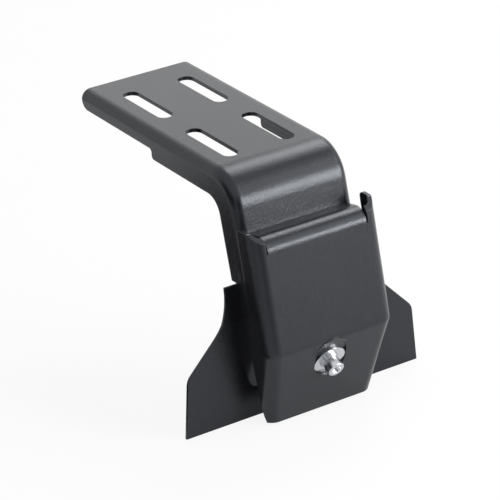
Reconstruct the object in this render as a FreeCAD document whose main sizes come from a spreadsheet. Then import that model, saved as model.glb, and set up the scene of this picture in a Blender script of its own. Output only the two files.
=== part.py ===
import FreeCAD, Part
import os
import Sketcher
from FreeCAD import Placement, Rotation, Vector

# Roof rack gutter mount, in millimetres.
# The origin is the middle of the foot's bottom edge. X points outboard to the
# jaw, Y runs along the vehicle and Z points up.

os.makedirs("parts", exist_ok=True)
doc = FreeCAD.newDocument("gutter_mount")

# Driving sizes

SIZES = [
    ("sheet_thick", 2.3, "sheet of the channel and the jaw"),
    ("leg_width", 77, "outside width of the channel"),
    ("fold_radius", 6, "outside radius of the channel's long folds"),
    ("plate_top", 146, "height of the rack face above the foot's edge"),
    ("plate_rear", -168.8, "free end of the slotted plate"),
    ("corner_x", -8.15, "where the plate and the leg would meet"),
    ("bend_radius", 24, "outside radius of the large bend"),
    ("leg_lean", 14, "leg from the vertical, degrees"),
    ("knee_z", 49.6, "where the leg turns under to the screw face"),
    ("knee_radius", 4, "outside radius of that turn"),
    ("clamp_angle", 26, "screw below the horizontal, degrees"),
    ("rim_depth", 11, "depth of the flanges at the free end"),
    ("flange_depth", 17, "depth of the flanges along the leg"),
    ("step_x", -90.5, "where the flanges step from one to the other"),
    ("rim_corner", 6, "rounding of the flange's free lower corner"),
    ("elbow_radius", 12, "inside curve of the flange under the bend"),
    ("notch_z", 83, "cut that sits on the foot plate's top edge"),
    ("slot_middle", -90.5, "middle of the slot pattern"),
    ("slot_space_x", 69.4, "slot spacing along the plate"),
    ("slot_space_y", 38, "slot spacing across the plate"),
    ("slot_long", 47, "slot length, end to end"),
    ("slot_wide", 10, "slot width"),
    ("foot_front", 0.75, "face of the foot plate toward the jaw"),
    ("foot_thick", 1.5, "foot plate thickness"),
    ("foot_bend", 63, "height where the foot plate starts to lean"),
    ("seat_gap", 0.3, "room between parts that are set side by side"),
    ("foot_half_top", 46.9, "half width at the foot plate's top"),
    ("neck_half", 48.6, "half width at the foot plate's neck"),
    ("neck_z", 65.4, "height of the neck's corner"),
    ("neck_run", 14.5, "length that the neck's hollow curve takes of each edge"),
    ("wing_half", 76.7, "half width at the wing's corner"),
    ("wing_z", 36, "height of the wing's corner"),
    ("wing_radius", 9, "rounding of the wing's corner"),
    ("foot_half", 79.6, "half width of the bottom edge"),
    ("side_room", 1.4, "room between the jaw and the leg on each side"),
    ("jaw_fold", 8, "outside radius of the jaw's folds and knee"),
    ("jaw_top_x", 18.4, "where the jaw's face and its top rim would meet"),
    ("jaw_top_z", 118, "height of that corner"),
    ("jaw_lean", 12.4, "jaw's face from the vertical, degrees"),
    ("jaw_knee_z", 52, "height of the jaw's knee"),
    ("jaw_tuck", 16.5, "jaw's lower face from the vertical, degrees"),
    ("jaw_bottom", 2, "height of the jaw's lip"),
    ("lip_short", 2.2, "lip narrower than the channel, on each side"),
    ("rim_bend", 9, "outside radius of the jaw's top bend"),
    ("rim_short", 5.5, "top rim shorter than the channel's width, at each end"),
    ("ear_top", 120.4, "top of the jaw's ears"),
    ("ear_rear", 3.2, "rear edge of the ears"),
    ("ear_front", 12.8, "front of the ears"),
    ("corner_top", 115, "height where the ears' edge meets the jaw's face"),
    ("corner_gap", 0.8, "relief between an ear and the rim"),
    ("ear_radius", 2.5, "rounding of the ears"),
    ("jaw_rear_z", 78, "height where the jaw's rear edge turns straight down"),
    ("jaw_rear_x", 11.8, "rear edge of the jaw's side below that"),
    ("lip_rear_z", 41, "height where the rear edge runs in to the lip"),
    ("axis_run", 6.8, "screw from the leg's knee, along the inclined face"),
    ("seat_sink", 1.9, "depth of the pressed seat at the screw"),
    ("seat_travel", 4, "length by which the seat and its hole are longer"),
    ("seat_wall", 2.1, "sheet left around and behind the pressed seat"),
    ("washer_dia", 20, "flat washer, outside"),
    ("washer_bore", 6.4, "flat washer, hole"),
    ("washer_thick", 1.6, "flat washer"),
    ("spring_dia", 11.8, "spring washer, outside"),
    ("spring_bore", 6.1, "spring washer, hole"),
    ("spring_thick", 1.6, "spring washer"),
    ("split_wide", 1.0, "gap in the spring washer's ring"),
    ("split_lean", 0.6, "half of the gap's slant"),
    ("screw_dia", 6, "screw thread"),
    ("screw_long", 25, "screw length under the head"),
    ("screw_end", 0.8, "chamfer at the screw's end"),
    ("head_dia", 10, "screw head"),
    ("head_high", 6, "screw head height"),
    ("head_edge", 0.6, "rounding of the head's rim"),
    ("hex_flats", 5, "hexagon socket across flats"),
    ("hex_deep", 3, "hexagon socket depth"),
    ("thread_room", 0.05, "radial room in the nut's thread"),
    ("hole_room", 0.4, "radial room in the holes of the leg and the jaw"),
    ("nut_flats", 10, "nut across flats"),
    ("nut_high", 5, "nut height"),
    ("nut_edge", 0.5, "chamfer of the nut's thread"),
    ("weld_leg", 3, "leg of the weld bead"),
    ("weld_rise", 18.43, "start of the bead above the flange's lower end"),
    ("weld_long", 22, "length of the bead"),
]

# Sizes that follow from them

FOLLOWING = [
    ("knee_x", "corner_x + (plate_top - knee_z) * tan(leg_lean)"),
    ("tail_z", "knee_z - (knee_x - foot_front) / tan(clamp_angle)"),
    ("plate_in", "plate_top - sheet_thick"),
    ("corner_in_x", "corner_x + sheet_thick * tan(leg_lean) - sheet_thick / cos(leg_lean)"),
    ("half_turn", "tan((leg_lean + clamp_angle) / 2)"),
    ("knee_in_x", "knee_x - sheet_thick * (cos(leg_lean) + half_turn * sin(leg_lean))"),
    ("knee_in_z", "knee_z - sheet_thick * (sin(leg_lean) - half_turn * cos(leg_lean))"),
    ("tail_in_z", "knee_in_z - (knee_in_x - foot_front + 5) / tan(clamp_angle)"),
    ("back_shift", "flange_depth / cos(leg_lean)"),
    ("elbow_z", "plate_top - flange_depth"),
    ("elbow_x", "corner_x + flange_depth * tan(leg_lean) - back_shift"),
    ("notch_rear", "corner_x + (plate_top - notch_z) * tan(leg_lean) - back_shift"),
    ("notch_front", "foot_front - (notch_z - foot_bend) * tan(leg_lean)"),
    ("foot_top", "notch_z - seat_gap"),
    ("weld_low", "tail_z + weld_rise"),
    ("neck_lean", "atan((neck_half - foot_half_top) / (foot_top - neck_z))"),
    ("shoulder_lean", "atan((wing_half - neck_half) / (neck_z - wing_z))"),
    ("neck_radius", "neck_run / tan((shoulder_lean - neck_lean) / 2)"),
    ("foot_rear", "foot_front - foot_thick"),
    ("rear_bend", "foot_bend - foot_thick * tan(leg_lean / 2)"),
    ("above_foot", "foot_top + 5"),
    ("behind_foot", "foot_rear - 12"),
    ("lean_front_x", "foot_front - (above_foot - foot_bend) * tan(leg_lean)"),
    ("lean_rear_x", "foot_rear - (above_foot - rear_bend) * tan(leg_lean)"),
    ("screw_x", "knee_x - axis_run * sin(clamp_angle)"),
    ("screw_z", "knee_z - axis_run * cos(clamp_angle)"),
    ("jaw_half", "leg_width / 2 + side_room + sheet_thick"),
    ("lip_half", "leg_width / 2 - lip_short"),
    ("rim_half", "leg_width / 2 - rim_short"),
    ("jaw_knee_x", "jaw_top_x + (jaw_top_z - jaw_knee_z) * tan(jaw_lean)"),
    ("lip_x", "jaw_knee_x - (jaw_knee_z - jaw_bottom) * tan(jaw_tuck)"),
    ("lip_in_x", "lip_x - sheet_thick / cos(jaw_tuck)"),
    ("behind_jaw", "lip_in_x - 15"),
    ("over_x", "jaw_top_x - (ear_top - jaw_top_z) * tan(jaw_lean)"),
    ("over_in_x", "jaw_top_x - (ear_top + 5 - jaw_top_z) * tan(jaw_lean) - sheet_thick / cos(jaw_lean)"),
    ("under_in_x", "lip_in_x - 5 * tan(jaw_tuck)"),
    ("jaw_half_turn", "tan((jaw_lean + jaw_tuck) / 2)"),
    ("taper", "(jaw_half - lip_half) / (jaw_knee_z - jaw_bottom)"),
    ("rim_run", "rim_bend + 0.5"),
    ("face_cut_x", "jaw_top_x + rim_run * sin(jaw_lean)"),
    ("face_cut_z", "jaw_top_z - rim_run * cos(jaw_lean)"),
    ("face_in_x", "face_cut_x - sheet_thick * cos(jaw_lean)"),
    ("face_in_z", "face_cut_z - sheet_thick * sin(jaw_lean)"),
    ("corner_x_out", "jaw_top_x + (jaw_top_z - corner_top) * tan(jaw_lean) + 5"),
    ("rim_top_reach", "jaw_top_x + sheet_thick * sin(jaw_lean) - corner_x"),
    ("web_reach", "(plate_top - jaw_top_z + sheet_thick * cos(jaw_lean)) * tan(leg_lean)"),
    ("rim_length", "(rim_top_reach - web_reach - seat_gap / cos(leg_lean))"
                   " / (cos(jaw_lean) + tan(leg_lean) * sin(jaw_lean))"),
    ("rim_in_x", "jaw_top_x - rim_length * cos(jaw_lean)"),
    ("rim_in_z", "jaw_top_z - rim_length * sin(jaw_lean)"),
    ("rim_low_x", "rim_in_x + sheet_thick * sin(jaw_lean)"),
    ("rim_low_z", "rim_in_z - sheet_thick * cos(jaw_lean)"),
    ("inner_x", "face_in_x - rim_run * sin(jaw_lean) + sheet_thick * sin(jaw_lean)"),
    ("inner_z", "face_in_z + rim_run * cos(jaw_lean) - sheet_thick * cos(jaw_lean)"),
    ("face_out", "((jaw_knee_x - screw_x) * cos(jaw_tuck) - (jaw_knee_z - screw_z) * sin(jaw_tuck))"
                 " / cos(clamp_angle - jaw_tuck)"),
    ("seat_out", "face_out - seat_sink"),
    ("washer_out", "seat_out + washer_thick"),
    ("head_out", "washer_out + spring_thick"),
    ("seat_dia", "washer_dia + 2 * seat_gap"),
    ("turn", "90 + clamp_angle"),
]

sheet = doc.addObject("Spreadsheet::Sheet", "Sizes")
for row, (name, value, note) in enumerate(SIZES, start=1):
    sheet.set(f"A{row}", name)
    sheet.set(f"B{row}", str(value))
    sheet.set(f"C{row}", note)
    sheet.setAlias(f"B{row}", name)
doc.recompute()
for row, (name, formula) in enumerate(FOLLOWING, start=len(SIZES) + 1):
    sheet.set(f"A{row}", name)
    sheet.set(f"B{row}", "=" + formula)
    sheet.setAlias(f"B{row}", name)
    doc.recompute()


def size(name):
    """The value of a size in the sheet."""
    return float(sheet.get(name))


# Ways of drawing and building

def value_of(formula):
    """The number that a formula of sheet names gives."""
    return float(sheet.evalExpression(formula))


def bind(thing, path, formula):
    """Ties a property to a formula of sheet names written as Sizes.name."""
    thing.setExpression(path, formula)


def new_body(name):
    """A named body with nothing in it yet."""
    body = doc.addObject("PartDesign::Body", name)
    body.Label = name
    return body


def new_sketch(body, name, plane):
    """A sketch that lies on one of the body's own planes."""
    sketch = body.newObject("Sketcher::SketchObject", name)
    for part in body.Origin.OriginFeatures:
        if part.Role == plane:
            sketch.AttachmentSupport = (part, [""])
    sketch.MapMode = "FlatFace"
    return sketch


def fix(sketch, kind, geo, point, formula):
    """Holds a point of the sketch at a bound distance from the origin."""
    number = sketch.addConstraint(Sketcher.Constraint(kind, -1, 1, geo, point, value_of(formula)))
    bind(sketch, f"Constraints[{number}]", formula)


def loop(sketch, corners):
    """Closed outline through corners given as pairs of formulas."""
    spots = [Vector(value_of(u), value_of(v), 0) for u, v in corners]
    first = sketch.GeometryCount
    count = len(spots)
    for number in range(count):
        sketch.addGeometry(Part.LineSegment(spots[number], spots[(number + 1) % count]), False)
    for number in range(count):
        after = first + (number + 1) % count
        sketch.addConstraint(Sketcher.Constraint("Coincident", first + number, 2, after, 1))
    for number, (u, v) in enumerate(corners):
        fix(sketch, "DistanceX", first + number, 1, u)
        fix(sketch, "DistanceY", first + number, 1, v)


def ring(sketch, diameter):
    """Circle about the sketch's origin."""
    radius = value_of(diameter) / 2
    geo = sketch.addGeometry(Part.Circle(Vector(0, 0, 0), Vector(0, 0, 1), radius), False)
    sketch.addConstraint(Sketcher.Constraint("Coincident", geo, 3, -1, 1))
    number = sketch.addConstraint(Sketcher.Constraint("Diameter", geo, 2 * radius))
    bind(sketch, f"Constraints[{number}]", diameter)


def obround(sketch, left, right, across, width):
    """Slot with round ends, its ends' centres at left and right, along the sketch's X."""
    ax, bx, cy, rad = (value_of(item) for item in (left, right, across, f"({width}) / 2"))
    quarter = 1.5707963267948966
    up = Vector(0, 0, 1)
    first = sketch.GeometryCount
    sketch.addGeometry(Part.ArcOfCircle(Part.Circle(Vector(ax, cy, 0), up, rad), quarter, 3 * quarter), False)
    sketch.addGeometry(Part.ArcOfCircle(Part.Circle(Vector(bx, cy, 0), up, rad), -quarter, quarter), False)
    sketch.addGeometry(Part.LineSegment(Vector(ax, cy - rad, 0), Vector(bx, cy - rad, 0)), False)
    sketch.addGeometry(Part.LineSegment(Vector(bx, cy + rad, 0), Vector(ax, cy + rad, 0)), False)
    sketch.addConstraint(Sketcher.Constraint("Tangent", first, 2, first + 2, 1))
    sketch.addConstraint(Sketcher.Constraint("Tangent", first + 2, 2, first + 1, 1))
    sketch.addConstraint(Sketcher.Constraint("Tangent", first + 1, 2, first + 3, 1))
    sketch.addConstraint(Sketcher.Constraint("Tangent", first + 3, 2, first, 1))
    fix(sketch, "DistanceX", first, 3, left)
    fix(sketch, "DistanceY", first, 3, across)
    fix(sketch, "DistanceX", first + 1, 3, right)
    fix(sketch, "DistanceY", first + 1, 3, across)
    number = sketch.addConstraint(Sketcher.Constraint("Radius", first, rad))
    bind(sketch, f"Constraints[{number}]", f"({width}) / 2")


def on_screw(sketch, along):
    """Sets a sketch square across the screw, at a distance from the leg's face."""
    sketch.AttachmentOffset = Placement(Vector(0, 0, 0), Rotation(Vector(0, 1, 0), size("turn")))
    bind(sketch, "AttachmentOffset.Base.x", f"Sizes.screw_x + ({along}) * cos(Sizes.clamp_angle)")
    bind(sketch, "AttachmentOffset.Base.z", f"Sizes.screw_z - ({along}) * sin(Sizes.clamp_angle)")
    bind(sketch, "AttachmentOffset.Rotation.Angle", "Sizes.turn")


def pad_both(body, name, sketch, length):
    """Thickens a sketch evenly to both sides."""
    pad = body.newObject("PartDesign::Pad", name)
    pad.Profile = sketch
    pad.SideType = "Symmetric"
    bind(pad, "Length", length)
    doc.recompute()
    return pad


def pad_up(body, name, sketch, length, back=False):
    """Thickens a sketch to one side."""
    pad = body.newObject("PartDesign::Pad", name)
    pad.Profile = sketch
    pad.Reversed = back
    bind(pad, "Length", length)
    doc.recompute()
    return pad


def cut_both(body, name, sketch, length):
    """Cuts a sketch's outline evenly to both sides."""
    cut = body.newObject("PartDesign::Pocket", name)
    cut.Profile = sketch
    cut.SideType = "Symmetric"
    bind(cut, "Length", length)
    doc.recompute()
    return cut


def cut_down(body, name, sketch, length, back=False):
    """Cuts a sketch's outline against its facing direction, or with it if back."""
    cut = body.newObject("PartDesign::Pocket", name)
    cut.Profile = sketch
    cut.Reversed = back
    bind(cut, "Length", length)
    doc.recompute()
    return cut


def edges_where(feature, wanted):
    """Names of the feature's edges for which wanted(edge) is true."""
    edges = feature.Shape.Edges
    return [f"Edge{number}" for number, edge in enumerate(edges, start=1) if wanted(edge)]


def round_edges(body, name, feature, edges, radius):
    """Rounds the named edges."""
    fillet = body.newObject("PartDesign::Fillet", name)
    fillet.Base = (feature, edges)
    bind(fillet, "Radius", radius)
    doc.recompute()
    return fillet


def along_y(edge):
    """True for a straight edge that runs across the part."""
    span = edge.BoundBox
    return span.YLength > 0.5 and span.XLength < 0.01 and span.ZLength < 0.01


def at(edge, x, z):
    """True for an edge whose middle lies at the given X and Z."""
    middle = edge.BoundBox.Center
    return abs(middle.x - x) < 0.05 and abs(middle.z - z) < 0.05


def edge_across(body, x_name, z_name):
    """Picks the edges across the part at a corner named by its two sizes."""
    return edges_where(body.Tip, lambda e: along_y(e) and at(e, size(x_name), size(z_name)))


# Leg channel: one sheet pressed over the slotted plate, the bend and the leg



def leg_form(name, corners, top, inset):
    """The channel's outer form, or with an inset the hollow inside the sheet."""
    body = new_body(name)
    view = new_sketch(body, f"{name}_side", "XZ_Plane")
    loop(view, corners)
    pad_both(body, f"{name}_block", view, f"Sizes.leg_width - 2 * {inset}")
    for part, corner, radius in (("bend", corners[1], "bend_radius"), ("knee", corners[2], "knee_radius")):
        spot = [value_of(formula) for formula in corner]
        edges = edges_where(body.Tip, lambda e: along_y(e) and at(e, *spot))
        round_edges(body, f"{name}_{part}", body.Tip, edges, f"Sizes.{radius} - {inset}")

    def on_plate_fold(edge):
        span = edge.BoundBox
        level = abs(span.ZMin - size(top)) < 0.01 and abs(span.ZMax - size(top)) < 0.01
        return level and span.XLength > 50 and span.YLength < 0.01

    round_edges(body, f"{name}_folds", body.Tip, edges_where(body.Tip, on_plate_fold),
                f"Sizes.fold_radius - {inset}")
    return body


def combine(body, tool, kind):
    """Cuts another body out of this one, or fuses it on."""
    step = body.newObject("PartDesign::Boolean", f"{body.Name}_{tool.Name}")
    step.Type = kind
    step.setObjects([tool])
    doc.recompute()


leg = leg_form("leg_channel", [
    ("Sizes.plate_rear", "Sizes.plate_top"),
    ("Sizes.corner_x", "Sizes.plate_top"),
    ("Sizes.knee_x", "Sizes.knee_z"),
    ("Sizes.foot_front", "Sizes.tail_z"),
    ("Sizes.foot_front", "Sizes.foot_bend"),
    ("Sizes.notch_front", "Sizes.notch_z"),
    ("Sizes.notch_rear", "Sizes.notch_z"),
    ("Sizes.elbow_x", "Sizes.elbow_z"),
    ("Sizes.step_x", "Sizes.elbow_z"),
    ("Sizes.step_x", "Sizes.plate_top - Sizes.rim_depth"),
    ("Sizes.plate_rear", "Sizes.plate_top - Sizes.rim_depth"),
], "plate_top", "0")
leg_core = leg_form("leg_core", [
    ("Sizes.plate_rear - 5", "Sizes.plate_in"),
    ("Sizes.corner_in_x", "Sizes.plate_in"),
    ("Sizes.knee_in_x", "Sizes.knee_in_z"),
    ("Sizes.foot_front - 5", "Sizes.tail_in_z"),
    ("Sizes.plate_rear - 5", "Sizes.tail_in_z"),
], "plate_in", "Sizes.sheet_thick")
combine(leg, leg_core, "Cut")


def flange_corner(x_name, z_value):
    """Picks the short edges across the two flanges at one corner."""
    return edges_where(leg.Tip, lambda e: along_y(e) and e.Length < 5 and at(e, size(x_name), z_value))


rim_z = size("plate_top") - size("rim_depth")
round_edges(leg, "elbow_curve", leg.Tip, flange_corner("elbow_x", size("elbow_z")), "Sizes.elbow_radius")
round_edges(leg, "step_foot", leg.Tip, flange_corner("step_x", size("elbow_z")), "Sizes.sheet_thick")
round_edges(leg, "step_root", leg.Tip, flange_corner("step_x", rim_z), "Sizes.sheet_thick")
round_edges(leg, "rim_corners", leg.Tip, flange_corner("plate_rear", rim_z), "Sizes.rim_corner")

slots = new_sketch(leg, "rack_slots", "XY_Plane")
bind(slots, "AttachmentOffset.Base.z", "Sizes.plate_top")
for side_x in (-1, 1):
    for side_y in (-1, 1):
        middle_x = f"Sizes.slot_middle + {side_x} * Sizes.slot_space_x / 2"
        half_run = "(Sizes.slot_long - Sizes.slot_wide) / 2"
        obround(slots, f"{middle_x} - {half_run}", f"{middle_x} + {half_run}",
                f"{side_y} * Sizes.slot_space_y / 2", "Sizes.slot_wide")
cut_down(leg, "rack_slot_cut", slots, "3 * Sizes.sheet_thick")

leg_hole = new_sketch(leg, "screw_hole", "XY_Plane")
on_screw(leg_hole, "1")
ring(leg_hole, "Sizes.screw_dia + 2 * Sizes.hole_room")
cut_down(leg, "screw_hole_cut", leg_hole, "1 + 2 * Sizes.sheet_thick")

# Foot plate: stands in the gutter, welded on the leg's flanges

foot = new_body("foot_plate")
front = new_sketch(foot, "foot_front_view", "YZ_Plane")
bind(front, "AttachmentOffset.Base.z", "Sizes.behind_foot")
half = [
    ("Sizes.foot_half_top", "Sizes.foot_top"),
    ("Sizes.neck_half", "Sizes.neck_z"),
    ("Sizes.wing_half", "Sizes.wing_z"),
    ("Sizes.foot_half", "0 * Sizes.foot_half"),
]
loop(front, half + [(f"-({y})", z) for y, z in reversed(half)])
plate = pad_up(foot, "foot_block", front, "Sizes.foot_front - Sizes.behind_foot")


def along_x_at(y_name, z_name):
    """Picks the edges along X at one height and half width, on both sides."""
    def wanted(edge):
        span = edge.BoundBox
        middle = span.Center
        straight = span.XLength > 5 and span.YLength < 0.01 and span.ZLength < 0.01
        return straight and abs(abs(middle.y) - size(y_name)) < 0.05 and abs(middle.z - size(z_name)) < 0.05
    return edges_where(foot.Tip, wanted)


round_edges(foot, "neck_curves", foot.Tip, along_x_at("neck_half", "neck_z"), "Sizes.neck_radius")
round_edges(foot, "wing_corners", foot.Tip, along_x_at("wing_half", "wing_z"), "Sizes.wing_radius")
ahead = new_sketch(foot, "foot_front_cut", "XZ_Plane")
loop(ahead, [
    ("Sizes.foot_front", "Sizes.foot_bend"),
    ("Sizes.foot_front + 5", "Sizes.foot_bend"),
    ("Sizes.foot_front + 5", "Sizes.above_foot"),
    ("Sizes.lean_front_x", "Sizes.above_foot"),
])
cut_both(foot, "foot_front_face", ahead, "2 * Sizes.foot_half + 10")
behind = new_sketch(foot, "foot_rear_cut", "XZ_Plane")
loop(behind, [
    ("Sizes.foot_rear", "0 * Sizes.foot_rear - 5"),
    ("Sizes.foot_rear", "Sizes.rear_bend"),
    ("Sizes.lean_rear_x", "Sizes.above_foot"),
    ("Sizes.behind_foot - 5", "Sizes.above_foot"),
    ("Sizes.behind_foot - 5", "0 * Sizes.foot_rear - 5"),
])
cut_both(foot, "foot_rear_face", behind, "2 * Sizes.foot_half + 10")

# Weld beads: one run inside each flange, along the foot plate

beads = new_body("weld_beads")
runs = new_sketch(beads, "bead_section", "XY_Plane")
bind(runs, "AttachmentOffset.Base.z", "Sizes.weld_low")
for side_y in (1, -1):
    wall = f"{side_y} * (Sizes.leg_width / 2 - Sizes.sheet_thick)"
    loop(runs, [
        ("Sizes.foot_front", wall),
        ("Sizes.foot_front + Sizes.weld_leg", wall),
        ("Sizes.foot_front", f"{wall} - {side_y} * Sizes.weld_leg"),
    ])
pad_up(beads, "bead_runs", runs, "Sizes.weld_long")

# Jaw: one sheet pressed into a shield with side walls, a top rim and a seat


def jaw_form(name, inset):
    """The jaw's outer form, or with an inset the hollow inside the sheet."""
    body = new_body(name)
    view = new_sketch(body, f"{name}_side", "XZ_Plane")
    reach = f"Sizes.jaw_half - {inset}"
    if inset == "0":
        top = [("Sizes.behind_jaw", "Sizes.ear_top"), ("Sizes.over_x", "Sizes.ear_top")]
        low = [("Sizes.lip_x", "Sizes.jaw_bottom"), ("Sizes.behind_jaw", "Sizes.jaw_bottom")]
    else:
        top = [("Sizes.behind_jaw - 5", "Sizes.ear_top + 5"), ("Sizes.over_in_x", "Sizes.ear_top + 5")]
        low = [("Sizes.under_in_x", "Sizes.jaw_bottom - 5"), ("Sizes.behind_jaw - 5", "Sizes.jaw_bottom - 5")]
    knee_x = f"Sizes.jaw_knee_x - {inset} * (cos(Sizes.jaw_lean) + Sizes.jaw_half_turn * sin(Sizes.jaw_lean))"
    knee_z = f"Sizes.jaw_knee_z - {inset} * (sin(Sizes.jaw_lean) - Sizes.jaw_half_turn * cos(Sizes.jaw_lean))"
    loop(view, top + [(knee_x, knee_z)] + low)
    pad_both(body, f"{name}_block", view, f"2 * ({reach})")
    taper = new_sketch(body, f"{name}_taper", "YZ_Plane")
    for side_y in (1, -1):
        away = f"{side_y} * (Sizes.jaw_half + 5)"
        loop(taper, [
            (f"{side_y} * ({reach})", knee_z),
            (f"{side_y} * ({reach} - ({knee_z} - Sizes.jaw_bottom + 6) * Sizes.taper)", "Sizes.jaw_bottom - 6"),
            (away, "Sizes.jaw_bottom - 6"),
            (away, knee_z),
        ])
    cut_both(body, f"{name}_sides", taper, "400")
    spot_x = value_of(knee_x)
    spot_z = value_of(knee_z)

    def to_round(edge):
        ends = [(vertex.X, vertex.Z) for vertex in edge.Vertexes]
        at_knee = [abs(z - spot_z) < 0.01 for x, z in ends]
        in_front = [abs(x - spot_x) < 0.01 for x, z in ends]
        return any(level and front for level, front in zip(at_knee, in_front))

    round_edges(body, f"{name}_folds", body.Tip, edges_where(body.Tip, to_round), f"Sizes.jaw_fold - {inset}")
    return body


jaw = jaw_form("clamp_jaw", "0")
jaw_core = jaw_form("jaw_core", "Sizes.sheet_thick")
combine(jaw, jaw_core, "Cut")


crown = new_sketch(jaw, "crown_cut", "XZ_Plane")
loop(crown, [
    ("Sizes.ear_front", "Sizes.ear_top"),
    ("Sizes.corner_x_out - 5", "Sizes.corner_top"),
    ("Sizes.corner_x_out", "Sizes.corner_top"),
    ("Sizes.corner_x_out", "Sizes.ear_top + 3"),
    ("Sizes.ear_front", "Sizes.ear_top + 3"),
])
cut_both(jaw, "crown_edge", crown, "2 * Sizes.jaw_half + 10")
window = new_sketch(jaw, "rim_cut", "XZ_Plane")
loop(window, [
    ("Sizes.face_in_x - 2 * cos(Sizes.jaw_lean)", "Sizes.face_in_z - 2 * sin(Sizes.jaw_lean)"),
    ("Sizes.face_cut_x + 2 * cos(Sizes.jaw_lean)", "Sizes.face_cut_z + 2 * sin(Sizes.jaw_lean)"),
    ("Sizes.face_cut_x + 2 * cos(Sizes.jaw_lean)", "Sizes.ear_top + 5"),
    ("Sizes.face_in_x - 8", "Sizes.ear_top + 5"),
])
cut_both(jaw, "rim_opening", window, "2 * (Sizes.rim_half + Sizes.corner_gap)")
rear = new_sketch(jaw, "rear_cut", "XZ_Plane")
loop(rear, [
    ("Sizes.ear_rear", "Sizes.ear_top + 3"),
    ("Sizes.ear_rear", "Sizes.ear_top"),
    ("Sizes.jaw_rear_x", "Sizes.jaw_rear_z"),
    ("Sizes.jaw_rear_x", "Sizes.lip_rear_z"),
    ("Sizes.lip_in_x - 1", "Sizes.jaw_bottom"),
    ("Sizes.lip_in_x - 1", "Sizes.jaw_bottom - 3"),
    ("Sizes.behind_jaw - 3", "Sizes.jaw_bottom - 3"),
    ("Sizes.behind_jaw - 3", "Sizes.ear_top + 3"),
])
cut_both(jaw, "rear_edge", rear, "2 * Sizes.jaw_half + 10")


ears = edge_across(jaw, "ear_rear", "ear_top") + edge_across(jaw, "ear_front", "ear_top")
round_edges(jaw, "ear_corners", jaw.Tip, ears, "Sizes.ear_radius")
rim = new_body("jaw_rim")
section = new_sketch(rim, "rim_section", "XZ_Plane")
loop(section, [
    ("Sizes.face_cut_x", "Sizes.face_cut_z"),
    ("Sizes.jaw_top_x", "Sizes.jaw_top_z"),
    ("Sizes.rim_in_x", "Sizes.rim_in_z"),
    ("Sizes.rim_low_x", "Sizes.rim_low_z"),
    ("Sizes.inner_x", "Sizes.inner_z"),
    ("Sizes.face_in_x", "Sizes.face_in_z"),
])
pad_both(rim, "rim_strip", section, "2 * Sizes.rim_half")
round_edges(rim, "rim_outside", rim.Tip, edge_across(rim, "jaw_top_x", "jaw_top_z"), "Sizes.rim_bend")
round_edges(rim, "rim_inside", rim.Tip, edge_across(rim, "inner_x", "inner_z"),
            "Sizes.rim_bend - Sizes.sheet_thick")
combine(jaw, rim, "Fuse")

cup = new_sketch(jaw, "seat_back", "XY_Plane")
on_screw(cup, "Sizes.seat_out")
obround(cup, "-Sizes.seat_travel", "0 * Sizes.seat_travel", "0 * Sizes.seat_travel",
        "Sizes.seat_dia + 2 * Sizes.seat_wall")
pad_up(jaw, "seat_back_wall", cup, "Sizes.seat_wall", True)
seat = new_sketch(jaw, "seat_face", "XY_Plane")
on_screw(seat, "Sizes.seat_out")
obround(seat, "-Sizes.seat_travel", "0 * Sizes.seat_travel", "0 * Sizes.seat_travel", "Sizes.seat_dia")
cut_down(jaw, "seat_pocket", seat, "3 * Sizes.sheet_thick", True)
slit = new_sketch(jaw, "jaw_hole", "XY_Plane")
on_screw(slit, "Sizes.seat_out + 1")
obround(slit, "-Sizes.seat_travel", "0 * Sizes.seat_travel", "0 * Sizes.seat_travel",
        "Sizes.screw_dia + 2 * Sizes.hole_room")
cut_down(jaw, "jaw_hole_cut", slit, "3 * Sizes.sheet_thick")

# Screw, washers and nut, each drawn in its own frame with Z along the screw


def stand_on_screw(body, along):
    """Sets a body's Z along the screw, its origin at a distance from the leg's face."""
    body.Placement = Placement(Vector(0, 0, 0), Rotation(Vector(0, 1, 0), size("turn")))
    bind(body, "Placement.Base.x", f"Sizes.screw_x + ({along}) * cos(Sizes.clamp_angle)")
    bind(body, "Placement.Base.z", f"Sizes.screw_z - ({along}) * sin(Sizes.clamp_angle)")
    bind(body, "Placement.Rotation.Angle", "Sizes.turn")


def disc(body, name, diameter, low, length):
    """Round pad about the body's Z from the height low."""
    sketch = new_sketch(body, f"{name}_outline", "XY_Plane")
    bind(sketch, "AttachmentOffset.Base.z", low)
    ring(sketch, diameter)
    return pad_up(body, name, sketch, length)


def bore(body, name, diameter, top, depth):
    """Round hole about the body's Z from the height top down."""
    sketch = new_sketch(body, f"{name}_outline", "XY_Plane")
    bind(sketch, "AttachmentOffset.Base.z", top)
    ring(sketch, diameter)
    return cut_down(body, name, sketch, depth)


def hexagon(sketch, flats, first):
    """Hexagon about the sketch's origin, given across its flats, its first corner at an angle in degrees."""
    corner = f"({flats}) / 2 / cos(30)"
    angles = range(first, first + 360, 60)
    loop(sketch, [(f"{corner} * cos({angle})", f"{corner} * sin({angle})") for angle in angles])


def round_edge_at(feature, height, radius):
    """Picks the whole circle of a radius at a height in the body's own frame."""
    def wanted(edge):
        span = edge.BoundBox
        level = abs(span.ZMin - height) < 0.01 and span.ZLength < 0.01
        return level and abs(span.XLength - 2 * radius) < 0.05 and abs(span.YLength - 2 * radius) < 0.05
    return edges_where(feature, wanted)


def bevel(body, name, feature, edges, length):
    """Chamfers the named edges."""
    chamfer = body.newObject("PartDesign::Chamfer", name)
    chamfer.Base = (feature, edges)
    bind(chamfer, "Size", length)
    doc.recompute()
    return chamfer


washer = new_body("flat_washer")
disc(washer, "washer_disc", "Sizes.washer_dia", "0 * Sizes.washer_dia", "Sizes.washer_thick")
bore(washer, "washer_hole", "Sizes.washer_bore", "Sizes.washer_thick", "Sizes.washer_thick")
stand_on_screw(washer, "Sizes.seat_out")

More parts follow.
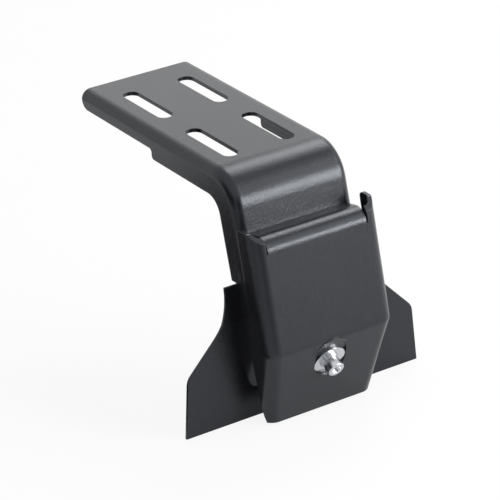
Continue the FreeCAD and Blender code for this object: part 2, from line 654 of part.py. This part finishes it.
spring = new_body("spring_washer")
disc(spring, "spring_disc", "Sizes.spring_dia", "0 * Sizes.spring_dia", "Sizes.spring_thick")
bore(spring, "spring_hole", "Sizes.spring_bore", "Sizes.spring_thick", "Sizes.spring_thick")
split = new_sketch(spring, "spring_split", "XZ_Plane")
loop(split, [
    ("-Sizes.split_lean - Sizes.split_wide / 2", "0 * Sizes.split_wide"),
    ("-Sizes.split_lean + Sizes.split_wide / 2", "0 * Sizes.split_wide"),
    ("Sizes.split_lean + Sizes.split_wide / 2", "Sizes.spring_thick"),
    ("Sizes.split_lean - Sizes.split_wide / 2", "Sizes.spring_thick"),
])
cut_down(spring, "spring_gap", split, "Sizes.spring_dia")
stand_on_screw(spring, "Sizes.washer_out")

screw = new_body("clamp_screw")
disc(screw, "screw_shank", "Sizes.screw_dia", "-Sizes.screw_long", "Sizes.screw_long")
disc(screw, "screw_head", "Sizes.head_dia", "0 * Sizes.head_dia", "Sizes.head_high")
socket = new_sketch(screw, "socket_outline", "XY_Plane")
bind(socket, "AttachmentOffset.Base.z", "Sizes.head_high")
hexagon(socket, "Sizes.hex_flats", 0)
cut_down(screw, "socket", socket, "Sizes.hex_deep")
round_edges(screw, "head_rim", screw.Tip, round_edge_at(screw.Tip, size("head_high"), size("head_dia") / 2),
            "Sizes.head_edge")
bevel(screw, "screw_point", screw.Tip, round_edge_at(screw.Tip, -size("screw_long"), size("screw_dia") / 2),
      "Sizes.screw_end")
stand_on_screw(screw, "Sizes.head_out")

nut = new_body("weld_nut")
flats = new_sketch(nut, "nut_outline", "XY_Plane")
bind(flats, "AttachmentOffset.Base.z", "-Sizes.nut_high")
hexagon(flats, "Sizes.nut_flats", 30)
pad_up(nut, "nut_block", flats, "Sizes.nut_high")
thread_radius = size("screw_dia") / 2 + size("thread_room")
bore(nut, "nut_thread", "Sizes.screw_dia + 2 * Sizes.thread_room", "0 * Sizes.nut_high", "Sizes.nut_high")
bevel(nut, "nut_lead", nut.Tip, round_edge_at(nut.Tip, -size("nut_high"), thread_radius), "Sizes.nut_edge")
stand_on_screw(nut, "-Sizes.sheet_thick")

# Every object is checked, then each piece is written under its own name

doc.recompute()
for item in doc.Objects:
    faults = [word for word in item.State if word in ("Invalid", "Error")]
    if faults:
        raise RuntimeError(f"{item.Name} is not built: {faults}")
for body in (leg, foot, beads, nut, jaw, washer, spring, screw):
    shape = body.Shape
    if shape.isNull() or not shape.isValid():
        raise RuntimeError(f"{body.Label} has no sound shape")
    print(body.Label, len(shape.Solids), "solid", round(shape.Volume), "mm3")
    shape.exportStep(f"parts/{body.Label}.step")
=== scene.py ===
# %% [markdown]
# # A roof rack gutter mount
# The bracket is pressed from steel sheet, coated satin black, and closed by one
# zinc plated screw. The packed model already has every sheet, so this lesson
# adds what its solids leave plain: the coating, the plating, the screw's thread
# and rounded head, and the ripples of the weld runs.

# %% Load the frame
import math

import bpy
import numpy as np
from mathutils import Matrix, Vector


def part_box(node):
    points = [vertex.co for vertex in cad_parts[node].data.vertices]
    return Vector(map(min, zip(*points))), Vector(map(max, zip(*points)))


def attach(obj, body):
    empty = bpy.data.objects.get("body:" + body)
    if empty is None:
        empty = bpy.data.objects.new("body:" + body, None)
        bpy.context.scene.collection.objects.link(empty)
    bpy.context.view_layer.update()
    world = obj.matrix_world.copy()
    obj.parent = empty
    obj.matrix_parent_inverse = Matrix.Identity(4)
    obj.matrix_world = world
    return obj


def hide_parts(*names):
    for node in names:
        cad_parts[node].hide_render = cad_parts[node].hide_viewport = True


MM = 0.001

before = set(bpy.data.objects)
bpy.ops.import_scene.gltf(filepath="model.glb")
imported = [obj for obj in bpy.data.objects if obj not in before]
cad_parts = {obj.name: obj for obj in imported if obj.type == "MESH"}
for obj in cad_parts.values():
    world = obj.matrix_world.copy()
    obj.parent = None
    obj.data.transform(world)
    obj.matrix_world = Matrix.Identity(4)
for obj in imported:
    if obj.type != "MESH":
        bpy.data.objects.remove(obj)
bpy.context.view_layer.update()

# %% [markdown]
# ## Where the camera stood
# The slots, the edges and the screw of the photograph give the camera by a fit:
# it looks at the bracket from outboard, 26 degrees above, with a long lens and a
# small roll. The numbers below are that fit, in millimetres and degrees, about
# the middle of the slot pattern.

# %% Camera
FIT = {"azimuth": 57.89, "elevation": 25.69, "roll": -2.56, "distance": 1620.7, "focal_px": 2815.1,
       "across": -24.63, "above": 77.76}
SLOT_MIDDLE = Vector((-90.5, 0.0, 146.0))
FRAME_PX = 500
SENSOR = 36.0
FARTHEST = 20.0


def camera_axes(azimuth, elevation, roll):
    """Right, up and back of a camera that looks at the object from an azimuth and an elevation.

    Back is the spherical direction of the two angles, right is level, up is back
    across right, and the roll turns right and up about back.
    """
    az, el, turn = (math.radians(v) for v in (azimuth, elevation, roll))
    back = Vector((math.sin(az) * math.cos(el), -math.cos(az) * math.cos(el), math.sin(el)))
    right = Vector((math.cos(az), math.sin(az), 0.0))
    up = back.cross(right)
    return (math.cos(turn) * right + math.sin(turn) * up, math.cos(turn) * up - math.sin(turn) * right, back)


right, up, back = camera_axes(FIT["azimuth"], FIT["elevation"], FIT["roll"])
place = SLOT_MIDDLE - FIT["across"] * right - FIT["above"] * up + FIT["distance"] * back
camera_data = bpy.data.cameras.new("studio_camera")
camera_data.sensor_width = SENSOR
camera_data.lens = SENSOR * FIT["focal_px"] / FRAME_PX
camera_data.clip_end = FARTHEST
camera = bpy.data.objects.new("studio_camera", camera_data)
camera.matrix_world = Matrix.Translation(place * MM) @ Matrix((right, up, back)).transposed().to_4x4()
bpy.context.scene.collection.objects.link(camera)
bpy.context.scene.camera = camera
print("camera at mm:", [round(v) for v in place], "lens", round(camera_data.lens, 1))

# %% [markdown]
# ## A small language for materials
# A finish is a sum of patterns: fine grain, soft clouds, an orange peel. Written
# as wires between nodes, such a sum is hard to read, so a small class wraps a
# socket and lets Python's own signs add the Math nodes.

# %% Shader maths


class Wire:
    """A socket that adds, subtracts and multiplies by adding Math nodes, on either side of the sign."""

    def __init__(self, finish, socket):
        self.finish = finish
        self.socket = socket

    def _math(self, kind, first, second):
        return self.finish.node("Math", {"operation": kind}, {0: first, 1: second})

    def __add__(self, other):
        return self._math("ADD", self, other)

    def __sub__(self, other):
        return self._math("SUBTRACT", self, other)

    def __mul__(self, other):
        return self._math("MULTIPLY", self, other)

    def __rsub__(self, other):
        return self._math("SUBTRACT", other, self)

    __radd__ = __add__
    __rmul__ = __mul__


print("signs that add nodes: + - *")

# %% [markdown]
# ## A finish
# A finish is one material with one shader. Any other node comes from the method
# node, which takes the node's type, its settings and what its sockets get. The
# other methods are the three patterns that both finishes of this bracket use:
# clouds of noise, a colour between two colours, and a skin. The skin is a relief
# on the normal over edges that look slightly rounded, as a coated sheet edge is.

# %% Finish
EDGE_SAMPLES = 6


class Finish:
    """A named material: one shader node, and any other node through node()."""

    def __init__(self, name):
        self.material = bpy.data.materials.new(name)
        self.material.use_nodes = True
        self.tree = self.material.node_tree
        self.shader = self.tree.nodes["Principled BSDF"]

    def node(self, kind, settings, inputs, output=0):
        """Adds a node, sets it up, then fills its sockets with values or wires."""
        made = self.tree.nodes.new("ShaderNode" + kind)
        for key, value in settings.items():
            setattr(made, key, value)
        for key, value in inputs.items():
            self.feed(made.inputs[key], value)
        return Wire(self, made.outputs[output])

    def feed(self, socket, value):
        """Sets a socket, or links a wire to it."""
        if isinstance(value, Wire):
            self.tree.links.new(value.socket, socket)
        else:
            socket.default_value = value

    def set(self, **inputs):
        """Feeds the shader's own sockets; an underscore stands for a space."""
        for key, value in inputs.items():
            self.feed(self.shader.inputs[key.replace("_", " ")], value)

    def noise(self, scale, detail, rough):
        """Clouds of a scale per metre, between 0 and 1, on the object's own coordinates."""
        spot = self.node("TexCoord", {}, {}, "Object")
        return self.node("TexNoise", {}, {"Vector": spot, "Scale": scale, "Detail": detail,
                                          "Roughness": rough})

    def blend(self, amount, first, second):
        """The first colour times one less the amount, plus the second times the amount."""
        return self.node("Mix", {"data_type": "RGBA"}, {0: amount, 6: (*first, 1.0), 7: (*second, 1.0)}, 2)

    def skin(self, relief, strength, depth, edge):
        """Normal tilted by a relief of a depth, over edges that look rounded to a radius, in metres."""
        rounded = self.node("Bevel", {"samples": EDGE_SAMPLES}, {"Radius": edge})
        self.set(Normal=self.node("Bump", {}, {"Strength": strength, "Distance": depth, "Height": relief,
                                               "Normal": rounded}))


print("finish methods:", [name for name in vars(Finish) if not name.startswith("_")])

# %% [markdown]
# ## Satin black coating
# The sheets are dipped or sprayed with black powder and baked. The skin is not
# flat: it keeps a fine orange peel of about a millimetre, a pinhead grain, and
# broad clouds where it lies a little thicker. Its gloss is soft and faintly cool,
# so the studio shows in it as light and dark bands with blurred edges. One flat
# colour would look like plastic, and a real relief would need millions of faces,
# so roughness carries the clouds and a bump carries the peel.

# %% Coating
COAT_DARK = (0.0090, 0.0095, 0.0118)
COAT_LIGHT = (0.0138, 0.0145, 0.0172)
COAT_GLOSS_TONE = (0.88, 0.93, 1.0, 1.0)
COAT_INDEX = 1.46
COAT_ROUGH = 0.14
CLOUD_ROUGH = 0.06
GRAIN_ROUGH = 0.05
CLOUD_SHARE = 0.7
PEEL_SHARE = 0.6


def black_coating():
    """Clouds and grain in the colour and the roughness, and a relief of peel and grain."""
    finish = Finish("satin_black_coating")
    clouds = finish.noise(scale=22.0, detail=3.0, rough=0.55)
    grain = finish.noise(scale=2600.0, detail=2.0, rough=0.6)
    peel = finish.noise(scale=800.0, detail=2.0, rough=0.45)
    thickness = clouds * CLOUD_SHARE + grain * (1 - CLOUD_SHARE)
    relief = peel * PEEL_SHARE + grain * (1 - PEEL_SHARE)
    finish.set(Base_Color=finish.blend(thickness, COAT_DARK, COAT_LIGHT))
    finish.set(Roughness=COAT_ROUGH + clouds * CLOUD_ROUGH + grain * GRAIN_ROUGH)
    finish.skin(relief, strength=0.6, depth=0.3 * MM, edge=0.5 * MM)
    finish.set(IOR=COAT_INDEX, Specular_Tint=COAT_GLOSS_TONE)
    return finish.material


def finish_nodes(material, *names):
    """Puts a material in every material slot of the named CAD nodes."""
    for name in names:
        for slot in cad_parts[name].material_slots:
            slot.material = material
        print(name, "slots:", len(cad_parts[name].material_slots), material.name)


coating = black_coating()
finish_nodes(coating, "leg_channel", "foot_plate", "clamp_jaw", "weld_nut")

# %% [markdown]
# ## Bright zinc plating
# The screw and its washers are plated with zinc, a bright metal with a faint
# blue cast. The turned faces keep fine marks, and the plating lies in small
# cloudy patches, so the roughness varies from place to place. The marks are a
# bump, because they are finer than the faces of the pieces.

# %% Plating
ZINC_LIGHT = (0.68, 0.69, 0.71)
ZINC_DEEP = (0.52, 0.54, 0.57)
ZINC_ROUGH = 0.12
PATCH_ROUGH = 0.12
MARK_ROUGH = 0.05


def zinc_plating():
    """Deep and rougher where the patches are thick, light elsewhere, with a relief of fine marks."""
    finish = Finish("bright_zinc_plating")
    patches = finish.noise(scale=420.0, detail=3.0, rough=0.6)
    marks = finish.noise(scale=5200.0, detail=2.0, rough=0.7)
    finish.set(Base_Color=finish.blend(1 - patches, ZINC_DEEP, ZINC_LIGHT))
    finish.set(Metallic=1.0, Roughness=ZINC_ROUGH + patches * PATCH_ROUGH + marks * MARK_ROUGH)
    finish.skin(relief=marks, strength=0.2, depth=0.03 * MM, edge=0.25 * MM)
    return finish.material


plating = zinc_plating()
finish_nodes(plating, "flat_washer", "spring_washer")

# %% [markdown]
# ## Surfaces from numbers
# Each new piece is one surface: a grid of points worked out as whole arrays. The
# grid closes round the piece, and its first and last rows shrink to a point, so
# the surface has no hole.

# %% Grid to mesh


def surface(name, points, material):
    """A closed ring grid: points[row, column] joined to its neighbours, columns wrapping round."""
    rows, columns = points.shape[:2]
    index = np.arange(rows * columns).reshape(rows, columns)
    low, high = index[:-1], index[1:]
    quads = np.stack([low, np.roll(low, -1, 1), np.roll(high, -1, 1), high], axis=-1).reshape(-1, 4)
    mesh = bpy.data.meshes.new(name)
    mesh.from_pydata(points.reshape(-1, 3).tolist(), [], quads.tolist())
    mesh.materials.append(material)
    mesh.polygons.foreach_set("use_smooth", np.ones(len(mesh.polygons), bool))
    made = bpy.data.objects.new(name, mesh)
    bpy.context.scene.collection.objects.link(made)
    print(name, "faces:", len(mesh.polygons))
    return made


# %% [markdown]
# ## Where the screw stands
# The screw goes square through the jaw's seat, so it leans down with it. Its
# solid has a plain shank, so the whole screw is made anew as one surface about
# its axis, and the solid says how far it reaches both ways. Everything on it is
# given by a radius, an angle about the axis and a height along it, in millimetres.

# %% Screw axis
CLAMP_ANGLE = math.radians(26.0)
SCREW_FOOT = np.array([12.9051, 0.0, 43.4883])
AXIS = np.array([math.cos(CLAMP_ANGLE), 0.0, -math.sin(CLAMP_ANGLE)])
ACROSS = np.array([0.0, 1.0, 0.0])
UNDER = np.cross(AXIS, ACROSS)


def along_screw(radius, angle, height):
    """Screw's foot, plus the radius along the angle's spoke, plus the height along the axis, in metres."""
    spokes = np.cos(angle)[..., None] * ACROSS + np.sin(angle)[..., None] * UNDER
    return MM * (SCREW_FOOT + radius[..., None] * spokes + height[..., None] * AXIS)


def heights_of(node):
    """Lowest and highest place of a CAD node along the screw's axis, in mm."""
    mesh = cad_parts[node].data
    spots = np.empty(3 * len(mesh.vertices))
    mesh.vertices.foreach_get("co", spots)
    run = (spots.reshape(-1, 3) / MM - SCREW_FOOT) @ AXIS
    return run.min(), run.max()


screw_low, screw_high = heights_of("clamp_screw")
print("screw runs from", round(screw_low, 2), "to", round(screw_high, 2), "mm from the leg's face")

# %% [markdown]
# ## The screw's socket and head
# A socket head cap screw has a plain cylinder head with a rounded rim and a
# hexagon socket, which a punch drives in, so it ends in a shallow cone and keeps
# a small slant at its mouth. A row of the surface is a hexagon in the socket and
# a circle on the head, each at its own height, and together they are a profile
# carried round the axis.

# %% Head
HEAD_HIGH = 6.0
HEAD_RADIUS = 5.0
HEAD_ROUND = 0.6
HEAD_CHAMFER = 0.25
SIDE_DEPTHS = (0.75, 2.4, 4.1, 5.6, 5.75)
ROUND_ROWS = 7
FACE_RADII = (2.98, 3.1)
SOCKET_FLATS = 5.0
SOCKET_DEEP = 3.0
SOCKET_CONE = 0.9
SOCKET_FLOOR_SHARE = 0.96
SOCKET_FLOOR_STEP = 0.05
MOUTH_RADIUS = 2.86
MOUTH_DEEP = 0.28
MOUTH_STEP = 0.03
THREAD_RADIUS = 3.0
NECK = 0.3
COLUMNS = 192

angle = np.linspace(0.0, 2 * math.pi, COLUMNS, endpoint=False)
head_low = screw_high - HEAD_HIGH


def rings(radii, heights):
    """Rows of circles: each radius and each height, the same at every angle."""
    return np.outer(radii, np.ones(COLUMNS)), np.outer(heights, np.ones(COLUMNS))


def socket_rows():
    """A hexagon's radius, half the flats over the cosine within each sixth, from the cone to the mouth."""
    sixth = math.pi / 3
    hexagon = SOCKET_FLATS / 2 / np.cos((angle % sixth) - sixth / 2)
    floor = screw_high - SOCKET_DEEP
    heights = (floor - SOCKET_CONE, floor, floor + SOCKET_FLOOR_STEP, screw_high - MOUTH_DEEP,
               screw_high - MOUTH_STEP)
    radius = np.stack([0 * hexagon, SOCKET_FLOOR_SHARE * hexagon, hexagon, hexagon,
                       np.maximum(hexagon, MOUTH_RADIUS)])
    return radius, np.outer(heights, np.ones(COLUMNS))


def head_rows():
    """Circles over the flat face, a quarter round at the rim, the side, the underside and the neck."""
    turn = np.linspace(0.0, math.pi / 2, ROUND_ROWS)
    radii = np.concatenate([FACE_RADII, HEAD_RADIUS - HEAD_ROUND + HEAD_ROUND * np.sin(turn),
                            np.full(len(SIDE_DEPTHS), HEAD_RADIUS),
                            [HEAD_RADIUS - HEAD_CHAMFER, THREAD_RADIUS + NECK, THREAD_RADIUS]])
    heights = np.concatenate([np.full(len(FACE_RADII), screw_high),
                              screw_high - HEAD_ROUND + HEAD_ROUND * np.cos(turn),
                              screw_high - np.array(SIDE_DEPTHS), [head_low, head_low, head_low - NECK]])
    return rings(radii, heights)


print("socket rows:", len(socket_rows()[0]), "head rows:", len(head_rows()[0]))

# %% [markdown]
# ## The screw's thread
# A thread has sloping flanks between blunt crests and blunt grooves, and it
# fades out below the head. The radius is the crest's, less a wave of that shape.
# The wave depends on the height less the angle's share of a pitch, so it climbs
# one pitch in each turn. At the screw's end the crests are cut down to a short
# point. A bump would leave the thread's outline smooth, so it is in the mesh.

# %% Thread
PITCH = 1.0
THREAD_DEEP = 0.58
THREAD_SLACK = 0.02
ROWS_A_PITCH = 7
FIRST_ROW = 1.2
GROOVE_WIDE = 1.25
GROOVE_STEEP = 2.9
FADE_START = 1.0
FADE_LONG = 1.5
POINT_LONG = 0.8
POINT_CUT = 0.75
END_RADIUS = 2.15


def thread_rows():
    """Crest radius less the depth times a wave: 1 in a groove, 0 on a crest, faded out below the head."""
    height = np.arange(head_low - FIRST_ROW, screw_low, -PITCH / ROWS_A_PITCH)[:, None]
    climb = (height / PITCH - angle / (2 * math.pi)) % 1.0
    wave = np.clip(GROOVE_WIDE - GROOVE_STEEP * np.abs(climb - 0.5), 0.0, 1.0)
    fade = np.clip((head_low - FADE_START - height) / FADE_LONG, 0.0, 1.0)
    point = np.clip((height - screw_low) / POINT_LONG, 0.0, 1.0)
    crest = THREAD_RADIUS - THREAD_SLACK
    radius = np.minimum(crest - THREAD_DEEP * wave * fade, crest - POINT_CUT * (1.0 - point))
    return radius, height + 0 * radius


bands = [socket_rows(), head_rows(), thread_rows(), rings((END_RADIUS, 0.0), (screw_low, screw_low))]
screw_radius, screw_height = (np.concatenate(rows) for rows in zip(*bands))
cap_screw = surface("cap_screw", along_screw(screw_radius, angle, screw_height), plating)
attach(cap_screw, "screw")
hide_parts("clamp_screw")

# %% [markdown]
# ## The weld runs
# Inside the channel a welder joins each flange to the foot plate with one run. A
# run is a fillet with a slightly full face and a row of ripples, about a
# millimetre apart, that bulge along the way the torch went. The surface is a
# quarter round swept up the corner, whose radius swells and shrinks with the
# ripples and closes at both ends.

# %% Weld surface
WELD_RADIUS = 2.55 * MM
CORNER_OUT = 0.75 * MM
CORNER_ASIDE = 36.2 * MM
RIPPLE_STEP = 1.15 * MM
RIPPLE_DEEP = 0.10
RIPPLE_BULGE = 1.3
END_BLUNT = 9
WELD_ROWS = 150
WELD_COLUMNS = 14


def weld_run(name, side):
    """Quarter round in the corner of a flange and the foot plate, rippled along its height.

    Its radius is the weld's, times one less the ripple's share of a sine of the
    height, times a blunt curve that is 1 along the run and 0 at both ends.
    """
    low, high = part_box("weld_beads")
    height = np.linspace(low.z, high.z, WELD_ROWS)[:, None]
    along = (height - low.z) / (high.z - low.z)
    quarter = np.concatenate([[0.0], np.linspace(0.0, math.pi / 2, WELD_COLUMNS), [math.pi / 2]])
    reach = np.concatenate([[0.0], np.ones(WELD_COLUMNS), [0.0]])
    phase = math.pi * height / RIPPLE_STEP + RIPPLE_BULGE * np.sin(2 * quarter)
    ends = (1.0 - np.abs(2 * along - 1.0) ** END_BLUNT) ** 0.5
    radius = WELD_RADIUS * (1.0 - RIPPLE_DEEP * np.abs(np.sin(phase))) * ends * reach
    out = CORNER_OUT + radius * np.sin(quarter)
    aside = side * (CORNER_ASIDE - radius * np.cos(quarter))
    points = np.stack([out, aside, height + 0 * radius], axis=-1)
    return surface(name, points if side < 0 else points[:, ::-1], coating)


for side, name in ((-1, "weld_run_near"), (1, "weld_run_far")):
    run = weld_run(name, side)
    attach(run, "leg")
    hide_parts("weld_beads")

# %% [markdown]
# ## Studio world
# A satin black object is drawn by what it reflects. The world is white to the
# camera and in reflections, and softer as plain light, so that the background
# stays white and the bracket keeps its own depth of colour.

# %% World
WHITE = (1.0, 1.0, 1.0, 1.0)
PLAIN_LIGHT = 0.5
SEEN_LIGHT = 1.0


def studio_world():
    """Strength between plain and seen light by whether the camera, a gloss or a clear body sees it."""
    world = bpy.data.worlds.new("studio")
    bpy.context.scene.world = world
    world.use_nodes = True
    tree = world.node_tree
    sky = tree.nodes["Background"]
    rays = tree.nodes.new("ShaderNodeLightPath")
    seen = rays.outputs["Is Camera Ray"]
    for name in ("Is Glossy Ray", "Is Transmission Ray"):
        either = tree.nodes.new("ShaderNodeMath")
        either.operation = "MAXIMUM"
        tree.links.new(seen, either.inputs[0])
        tree.links.new(rays.outputs[name], either.inputs[1])
        seen = either.outputs[0]
    level = tree.nodes.new("ShaderNodeMapRange")
    level.inputs["To Min"].default_value = PLAIN_LIGHT
    level.inputs["To Max"].default_value = SEEN_LIGHT
    tree.links.new(seen, level.inputs["Value"])
    sky.inputs["Color"].default_value = WHITE
    tree.links.new(level.outputs[0], sky.inputs["Strength"])
    print("world light:", PLAIN_LIGHT, "and where it is seen", SEEN_LIGHT)


studio_world()

# %% [markdown]
# ## Lamps
# A wide lamp stands behind the object and lights the slotted plate at a low
# angle. A narrow strong one in front and to the right draws the bright bands on
# the bend and on the jaw's rim, a third above it fills them, and a fourth from
# above lights the bend's top. Each faces one point near the bracket's middle.

# %% Lamps
AIM = Vector((-0.04, 0.0, 0.09))


def facing(bearing, rise, distance):
    """Place at a bearing from X and a rise, in degrees, and a distance in metres, turned to face the aim."""
    side, lift = math.radians(bearing), math.radians(rise)
    away = Vector((math.cos(side) * math.cos(lift), math.sin(side) * math.cos(lift), math.sin(lift)))
    turn = (-away).to_track_quat("-Z", "Y")
    return Matrix.Translation(AIM + distance * away) @ turn.to_matrix().to_4x4()


def soft_lamp(name, place, size, radiance):
    """A rectangular lamp with sides in metres, whose face shines as bright as the radiance, white being 1."""
    data = bpy.data.lights.new(name, "AREA")
    data.shape = "RECTANGLE"
    data.size, data.size_y = size
    data.energy = radiance * math.pi * size[0] * size[1]
    lamp = bpy.data.objects.new(name, data)
    lamp.matrix_world = place
    lamp.visible_camera = False
    bpy.context.scene.collection.objects.link(lamp)
    print(name, "watts:", round(data.energy, 1))


soft_lamp("lamp_behind", facing(150.0, 24.0, 1.5), (1.3, 0.7), 0.6)
soft_lamp("lamp_front", facing(38.0, 16.0, 1.1), (0.66, 0.26), 17.0)
soft_lamp("lamp_fill", facing(54.0, 38.0, 1.2), (0.6, 0.46), 2.6)
soft_lamp("lamp_above", facing(122.0, 51.0, 1.2), (0.5, 0.42), 6.0)

# %% [markdown]
# ## Flags
# Three black cards, which only reflections see, stand in front, at the left and
# beside the foot, and give the folds their dark edges, as a photographer's flags
# do. Without them the white world would show in every fold.

# %% Flat sheets
CARD_BLACK = (0.004, 0.004, 0.004, 1.0)


def flat_sheet(name, wide, high, finish):
    """A rectangle about its middle."""
    x, y = wide / 2, high / 2
    mesh = bpy.data.meshes.new(name)
    mesh.from_pydata([(-x, -y, 0.0), (x, -y, 0.0), (x, y, 0.0), (-x, y, 0.0)], [], [(0, 1, 2, 3)])
    mesh.materials.append(finish.material)
    made = bpy.data.objects.new(name, mesh)
    bpy.context.scene.collection.objects.link(made)
    print(name, "metres:", wide, "by", high)
    return made


def flag(name, place, size):
    """A black card that only reflections see."""
    finish = Finish(name + "_card")
    finish.set(Base_Color=CARD_BLACK, Roughness=1.0, Specular_IOR_Level=0.0)
    card = flat_sheet(name, *size, finish)
    card.matrix_world = place
    for kind in ("camera", "diffuse", "transmission", "volume_scatter", "shadow"):
        setattr(card, "visible_" + kind, False)


flag("flag_camera", facing(-14.0, 4.0, 1.2), (1.0, 1.1))
flag("flag_side", facing(-84.0, 4.0, 1.2), (1.5, 1.1))
flag("flag_left", Matrix.Translation((-0.12, -0.19, 0.001)), (0.34, 0.2))

# %% [markdown]
# ## Floor
# The floor glows white for the camera and less in reflections. Elsewhere it is an
# ordinary white sheet, which takes the bracket's faint shadow, so the bracket is
# seen to stand on something while the background stays white.

# %% Floor
FLOOR_SIDE = 12.0
FLOOR_COLOUR = (0.93, 0.93, 0.93, 1.0)
FLOOR_ROUGH = 0.9
SEEN_GLOW = 0.88
MIRRORED_GLOW = 0.4


def white_floor():
    """Shader mixed with a white glow: most of it for the camera, less for gloss, none for plain light."""
    finish = Finish("studio_floor")
    finish.set(Base_Color=FLOOR_COLOUR, Roughness=FLOOR_ROUGH)
    seen = finish.node("LightPath", {}, {}, "Is Camera Ray")
    mirrored = finish.node("LightPath", {}, {}, "Is Glossy Ray")
    glow = finish.node("Emission", {}, {"Color": WHITE, "Strength": 1.0})
    plain = Wire(finish, finish.shader.outputs[0])
    mixed = finish.node("MixShader", {}, {0: seen * SEEN_GLOW + mirrored * MIRRORED_GLOW, 1: plain, 2: glow})
    finish.feed(finish.tree.nodes["Material Output"].inputs["Surface"], mixed)
    flat_sheet("floor", FLOOR_SIDE, FLOOR_SIDE, finish)


white_floor()
bpy.context.scene.view_settings.view_transform = "Standard"

# %% [markdown]
